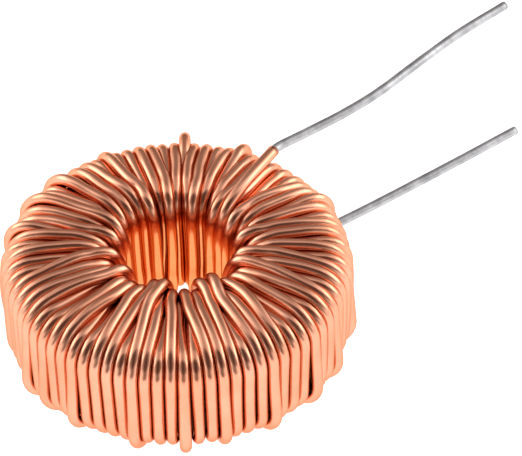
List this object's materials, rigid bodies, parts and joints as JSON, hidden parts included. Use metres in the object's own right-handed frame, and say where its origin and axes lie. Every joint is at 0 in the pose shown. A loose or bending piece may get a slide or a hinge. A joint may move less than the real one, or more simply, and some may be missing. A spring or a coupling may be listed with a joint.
{
  "type": "toroidal inductor",
  "caption": "Ring-shaped choke wound all round with enamelled copper wire, open through the middle, with straight tinned leads leaving side by side.",
  "frame": {"origin": "centre of the wound ring, on its axis and half way up it", "axes": "+Z along the ring's axis, towards the face the upper lead leaves; the leads leave between +X and +Y"},
  "size_m": [0.0462, 0.0471, 0.0127],
  "materials": {
    "powder": "matt pressed iron powder",
    "copper": "clear enamelled copper wire, glossy",
    "tin": "solder-dipped tin, satin"
  },
  "bodies": {
    "root": {"core": "powder", "winding": "copper", "lead_upper": "tin", "lead_lower": "tin"}
  },
  "joints": []
}
